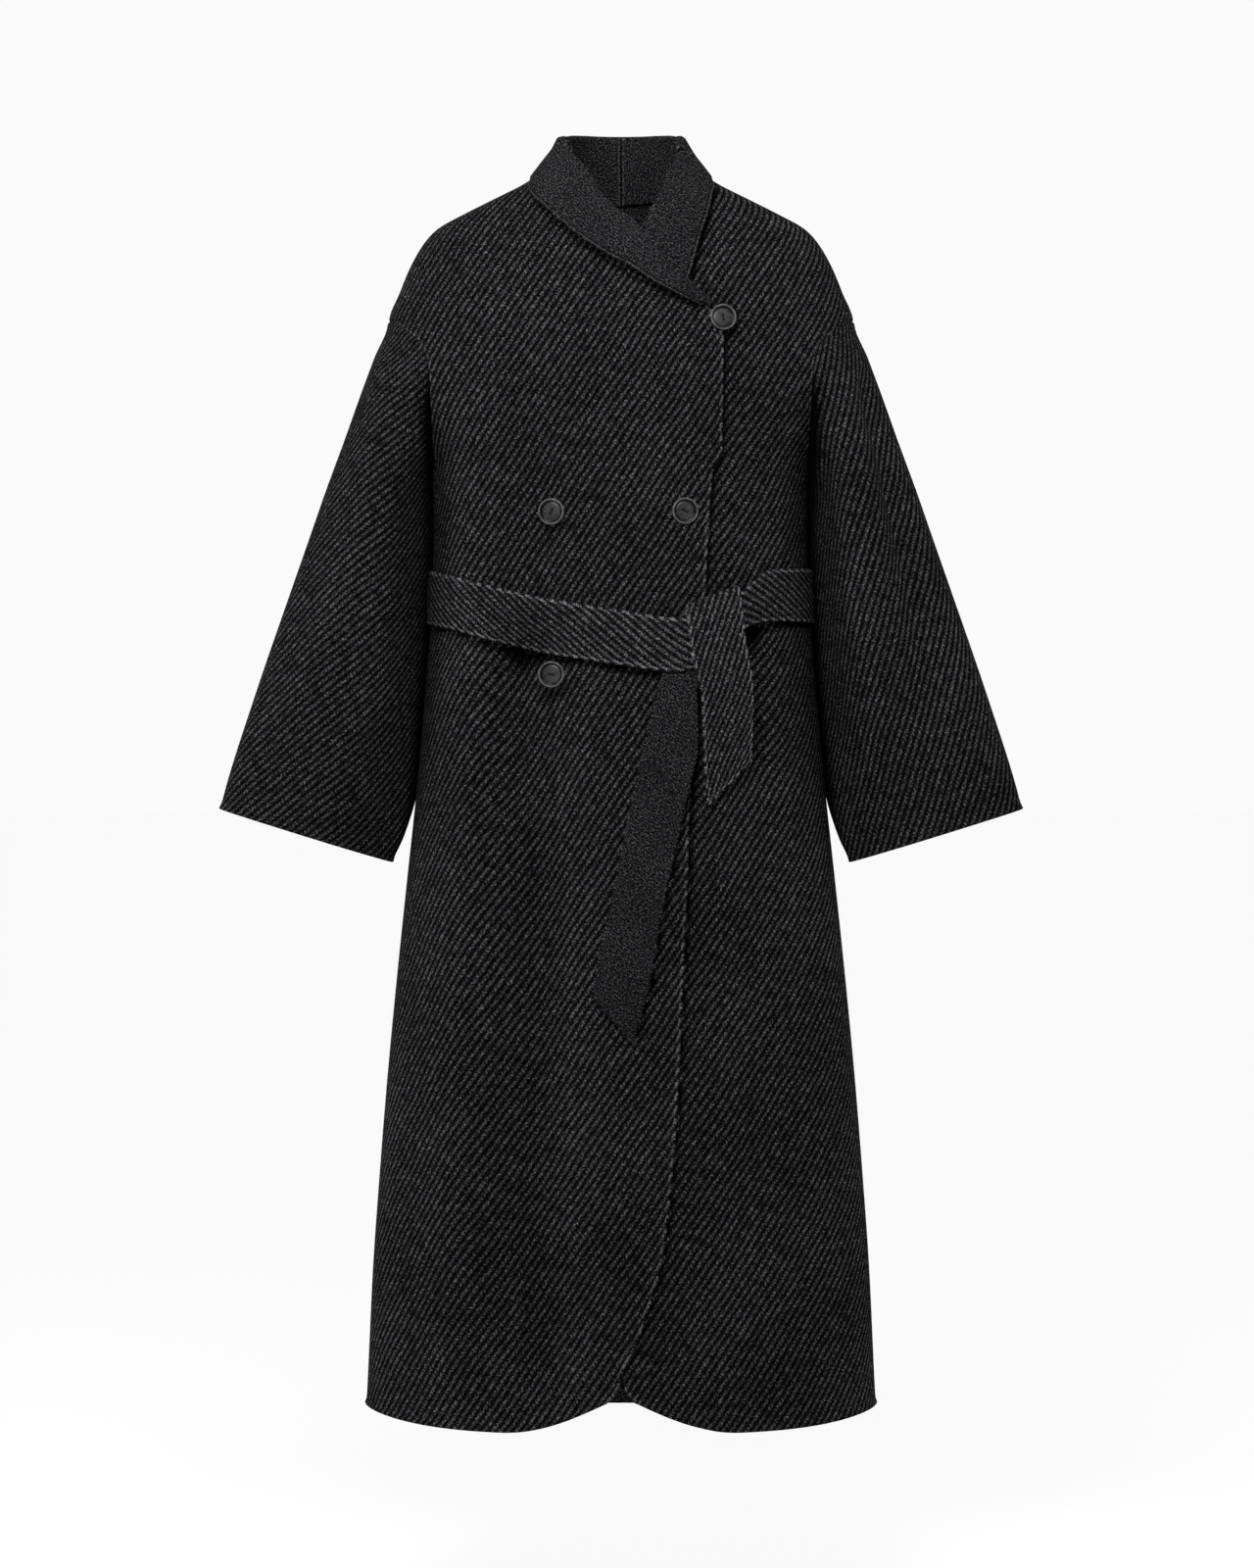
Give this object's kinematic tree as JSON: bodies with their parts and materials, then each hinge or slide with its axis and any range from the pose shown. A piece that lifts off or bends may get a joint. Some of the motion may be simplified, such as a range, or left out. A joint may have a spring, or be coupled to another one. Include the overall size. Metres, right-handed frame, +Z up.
{
  "type": "belted double-breasted coat",
  "caption": "Long dark wool coat with a shawl collar, dropped shoulders, round button-fastened overlapping fronts and a knotted belt of its own cloth, hollow and upright as worn.",
  "frame": {"origin": "between the points where the shoulder seams meet the neck, where the wearer's shoulders carry the coat", "axes": "+Z up, -Y the way the front faces, +X towards the wearer's left"},
  "size_m": [0.8, 0.2534, 1.2851],
  "materials": {
    "wool_face": "charcoal melange wool with a bold raised diagonal twill",
    "wool_reverse": "smooth brushed charcoal melange reverse of the double cloth",
    "horn": "dark polished horn-like resin"
  },
  "bodies": {
    "root": {"back": "wool_face", "front_right": "wool_face", "front_left": "wool_face", "sleeve_right": "wool_face", "sleeve_left": "wool_face", "collar_right": "wool_reverse", "collar_left": "wool_reverse", "belt_right": "wool_face", "belt_left": "wool_face", "belt_back": "wool_face", "belt_knot": "wool_face", "belt_tail": "wool_reverse", "button_top": "horn", "button_upper_right": "horn", "button_upper_left": "horn", "button_lower_right": "horn", "button_lower_left": "horn"}
  },
  "joints": []
}
